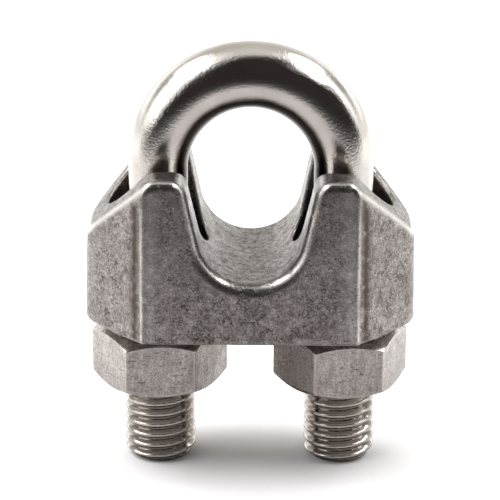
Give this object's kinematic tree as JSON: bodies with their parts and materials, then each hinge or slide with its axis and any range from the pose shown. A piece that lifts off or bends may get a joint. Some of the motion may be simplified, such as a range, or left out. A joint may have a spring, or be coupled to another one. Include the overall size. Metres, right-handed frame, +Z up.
{
  "type": "wire rope clip",
  "caption": "Stainless wire rope clip: a threaded U-bolt, a cast saddle with a rope groove, and hex nuts that clamp a rope between saddle and bow.",
  "frame": {"origin": "centre of the clip's footprint, level with the ends of the two legs", "axes": "+Z up along the legs towards the bow, +X across the legs, +Y along the rope"},
  "size_m": [0.036, 0.0192, 0.0477],
  "materials": {
    "stainless_polished": "polished",
    "stainless_cast": "tumbled casting",
    "stainless_satin": "satin"
  },
  "bodies": {
    "u_bolt": {"u_bolt": "stainless_polished"},
    "saddle": {"saddle": "stainless_cast"},
    "nut_left": {"nut_left": "stainless_satin"},
    "nut_right": {"nut_right": "stainless_satin"}
  },
  "joints": [
    {"name": "saddle_slide", "type": "slide", "parent": "u_bolt", "child": "saddle", "axis": [0, 0, 1], "range_m": [-0.008, 0.008]},
    {"name": "nut_left_spin", "type": "hinge", "parent": "saddle", "child": "nut_left", "pos_m": [-0.01, 0, 0.01235], "axis": [0, 0, 1], "range_deg": [-2305, 2305]},
    {"name": "nut_right_spin", "type": "hinge", "parent": "saddle", "child": "nut_right", "pos_m": [0.01, 0, 0.01235], "axis": [0, 0, 1], "range_deg": [-2305, 2305]}
  ],
  "couplings": [
    {"joint": "nut_left_spin", "follows": "saddle_slide", "rad_per_m": 5026.5},
    {"joint": "nut_right_spin", "follows": "saddle_slide", "rad_per_m": 5026.5}
  ]
}
